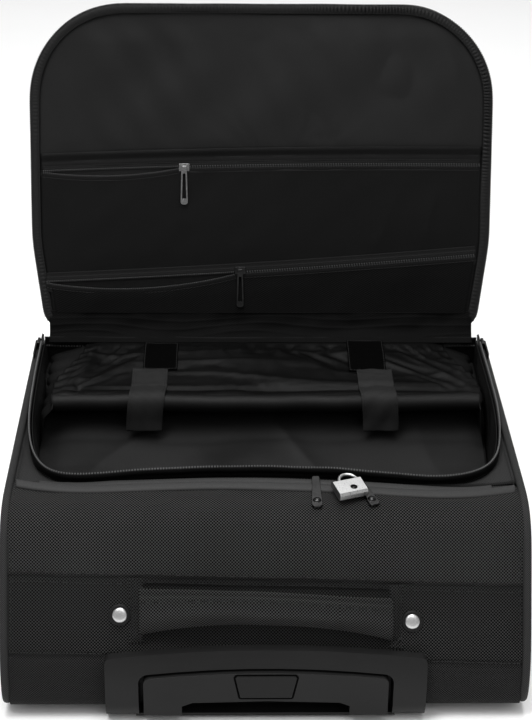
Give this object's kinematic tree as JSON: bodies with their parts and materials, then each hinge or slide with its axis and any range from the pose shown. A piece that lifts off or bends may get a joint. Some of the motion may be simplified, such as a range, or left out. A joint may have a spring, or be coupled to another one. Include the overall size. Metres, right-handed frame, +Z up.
{
  "type": "rolling pilot case",
  "caption": "Soft wheeled pilot case lying on its back with its front panel unzipped and open, with a padded pocket, straps, carry handle, telescopic trolley and a small padlock.",
  "frame": {"origin": "centre of the bounding box, on the surface that the case lies on", "axes": "+X across the case to the right seen from its handle end, +Y from the handle end to the wheel end, +Z up, out of the open front"},
  "size_m": [0.4776, 0.5376, 0.5125],
  "materials": {
    "nylon": "coarse ballistic nylon weave, semi-matt",
    "nylon_trim": "ribbed grosgrain binding",
    "lining": "plain satin-weave polyester lining",
    "mesh": "open knitted mesh",
    "webbing": "ribbed nylon webbing",
    "hook_tape": "hook-and-loop pile",
    "zip_teeth": "moulded coil teeth",
    "zip_metal": "black lacquered metal",
    "moulding": "fine-grained moulded plastic",
    "button": "smooth moulded plastic",
    "board": "pressed fibre board",
    "tube": "brushed aluminium tube",
    "steel": "plain steel",
    "nickel": "satin nickel plate",
    "tyre": "solid rubber"
  },
  "bodies": {
    "case": {"back_panel": "nylon", "back_board": "board", "top_panel": "nylon", "bottom_panel": "nylon", "side_panel_left": "nylon", "side_panel_right": "nylon", "side_piping": "nylon_trim", "top_binding": "nylon_trim", "rear_zipper_chain": "zip_teeth", "front_gusset": "nylon", "rim_zipper_chain": "zip_teeth", "compartment_lining": "lining", "divider_panel": "lining", "pocket_panel": "lining", "pocket_gussets": "lining", "hook_patches": "hook_tape", "strap_anchors": "webbing", "handle_patches": "nylon", "rivets": "nickel", "trolley_bezel": "moulding", "outer_tubes": "tube", "wheel_housing_left": "moulding", "wheel_housing_right": "moulding", "axles": "steel", "bottom_feet": "moulding", "hinge_strip": "nylon_trim"},
    "lid": {"lid_board": "board", "lid_lining": "lining", "upper_zip_chain": "zip_teeth", "lid_pocket_panel": "lining", "mesh_pocket": "mesh", "lower_zip_chain": "zip_teeth", "lid_binding": "nylon_trim", "lid_zipper_chain": "zip_teeth", "lid_gusset": "nylon", "lid_outer_panel": "nylon", "outer_pocket": "nylon"},
    "upper_slider": {"upper_slider": "zip_metal"},
    "upper_pull": {"upper_pull": "zip_metal"},
    "lower_slider": {"lower_slider": "zip_metal"},
    "lower_pull": {"lower_pull": "zip_metal"},
    "rear_sliders": {"rear_sliders": "zip_metal"},
    "rear_pulls": {"rear_pulls": "zip_metal"},
    "padlock": {"padlock_body": "nickel", "padlock_shackle": "nickel"},
    "rim_slider_left": {"rim_slider_left": "zip_metal"},
    "rim_slider_right": {"rim_slider_right": "zip_metal"},
    "middle_stage": {"mid_tubes": "tube"},
    "grip": {"inner_tubes": "tube", "trolley_grip": "moulding", "button_spring": "steel"},
    "button": {"trolley_button": "button", "lock_rods": "steel"},
    "strap_left": {"strap_left": "webbing"},
    "strap_right": {"strap_right": "webbing"},
    "carry_handle": {"carry_handle": "nylon"},
    "wheel_left": {"tyre_left": "tyre", "hub_left": "moulding"},
    "wheel_right": {"tyre_right": "tyre", "hub_right": "moulding"}
  },
  "joints": [
    {"name": "lid_hinge", "type": "hinge", "parent": "case", "child": "lid", "pos_m": [0, 0.13897, 0.196], "axis": [1, 0, 0], "range_deg": [0, 108]},
    {"name": "upper_slider_slide", "type": "slide", "parent": "lid", "child": "upper_slider", "axis": [0.9996, 0.0085, 0.0261], "range_m": [-0.12, 0.28]},
    {"name": "upper_pull_swing", "type": "hinge", "parent": "upper_slider", "child": "upper_pull", "pos_m": [-0.08, 0.18475, 0.35599], "axis": [1, 0, 0], "range_deg": [-100, 0]},
    {"name": "lower_slider_slide", "type": "slide", "parent": "lid", "child": "lower_slider", "axis": [0.9977, 0.0208, 0.0641], "range_m": [-0.17, 0.2]},
    {"name": "lower_pull_swing", "type": "hinge", "parent": "lower_slider", "child": "lower_pull", "pos_m": [-0.022, 0.15023, 0.25492], "axis": [1, 0, 0], "range_deg": [-100, 0]},
    {"name": "rear_zip_slide", "type": "slide", "parent": "case", "child": "rear_sliders", "axis": [1, 0, 0], "range_m": [-0.2, 0.08]},
    {"name": "rear_pulls_flip", "type": "hinge", "parent": "rear_sliders", "child": "rear_pulls", "pos_m": [0.0643, -0.14553, 0.1851], "axis": [1, 0, 0], "range_deg": [-60, 0]},
    {"name": "padlock_flip", "type": "hinge", "parent": "rear_pulls", "child": "padlock", "pos_m": [0.0714, -0.15263, 0.1924], "axis": [1, 0, 0], "range_deg": [-30, 0]},
    {"name": "rim_slider_left_slide", "type": "slide", "parent": "case", "child": "rim_slider_left", "axis": [0, -1, 0], "range_m": [0, 0.2]},
    {"name": "rim_slider_right_slide", "type": "slide", "parent": "case", "child": "rim_slider_right", "axis": [0, -1, 0], "range_m": [0, 0.2]},
    {"name": "trolley_middle_slide", "type": "slide", "parent": "case", "child": "middle_stage", "axis": [0, -1, 0], "range_m": [0, 0.28]},
    {"name": "trolley_grip_slide", "type": "slide", "parent": "middle_stage", "child": "grip", "axis": [0, -1, 0], "range_m": [0, 0.28]},
    {"name": "button_press", "type": "slide", "parent": "grip", "child": "button", "axis": [0, 1, 0], "range_m": [0, 0.0035], "stiffness_N_per_m": 600, "springref_m": -0.001, "deforming": ["button_spring"]},
    {"name": "strap_left_flip", "type": "hinge", "parent": "case", "child": "strap_left", "pos_m": [-0.116, 0.02797, 0.1804], "axis": [1, 0, 0], "range_deg": [-110, 0]},
    {"name": "strap_right_flip", "type": "hinge", "parent": "case", "child": "strap_right", "pos_m": [0.112, 0.02797, 0.1804], "axis": [1, 0, 0], "range_deg": [-110, 0]},
    {"name": "carry_handle_lift", "type": "slide", "parent": "case", "child": "carry_handle", "axis": [0, -0.893, 0.4501], "range_m": [0, 0.018]},
    {"name": "wheel_left_spin", "type": "hinge", "parent": "case", "child": "wheel_left", "pos_m": [-0.206, 0.12497, 0.028], "axis": [1, 0, 0], "continuous": true},
    {"name": "wheel_right_spin", "type": "hinge", "parent": "case", "child": "wheel_right", "pos_m": [0.206, 0.12497, 0.028], "axis": [1, 0, 0], "continuous": true}
  ]
}
